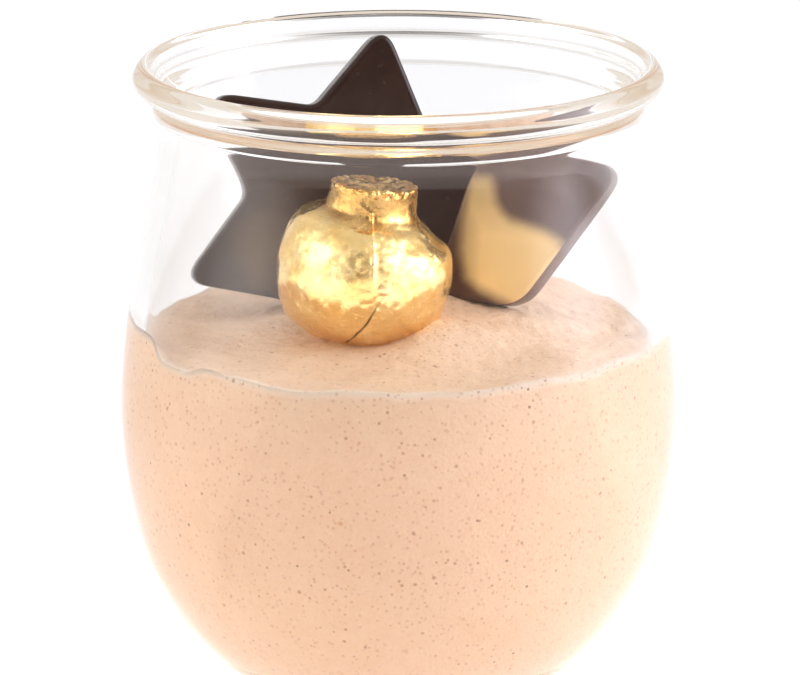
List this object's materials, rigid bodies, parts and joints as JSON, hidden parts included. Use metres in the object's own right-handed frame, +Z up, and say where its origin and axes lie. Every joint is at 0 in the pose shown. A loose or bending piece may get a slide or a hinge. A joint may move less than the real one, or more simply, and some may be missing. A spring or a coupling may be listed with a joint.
{
  "type": "cup of gingerbread mousse",
  "caption": "Round-bellied clear glass dessert jar with a fat rim, part filled with speckled mousse and topped with dark chocolate shapes and a gold foil bauble.",
  "frame": {"origin": "centre of the jar's foot, on the surface it stands on", "axes": "+Z up along the jar's axis, -Y towards the front, where the foil bauble lies before the chocolate star"},
  "size_m": [0.069, 0.069, 0.0801],
  "materials": {
    "glass": "clear and polished",
    "mousse": "soft, finely bubbled cream with brown spice specks",
    "chocolate": "moulded dark chocolate, smooth with a soft gloss",
    "foil": "crumpled gold foil, bright and wrinkled"
  },
  "bodies": {
    "root": {"jar": "glass", "mousse": "mousse", "star": "chocolate", "lozenge": "chocolate", "bauble": "foil"}
  },
  "joints": []
}
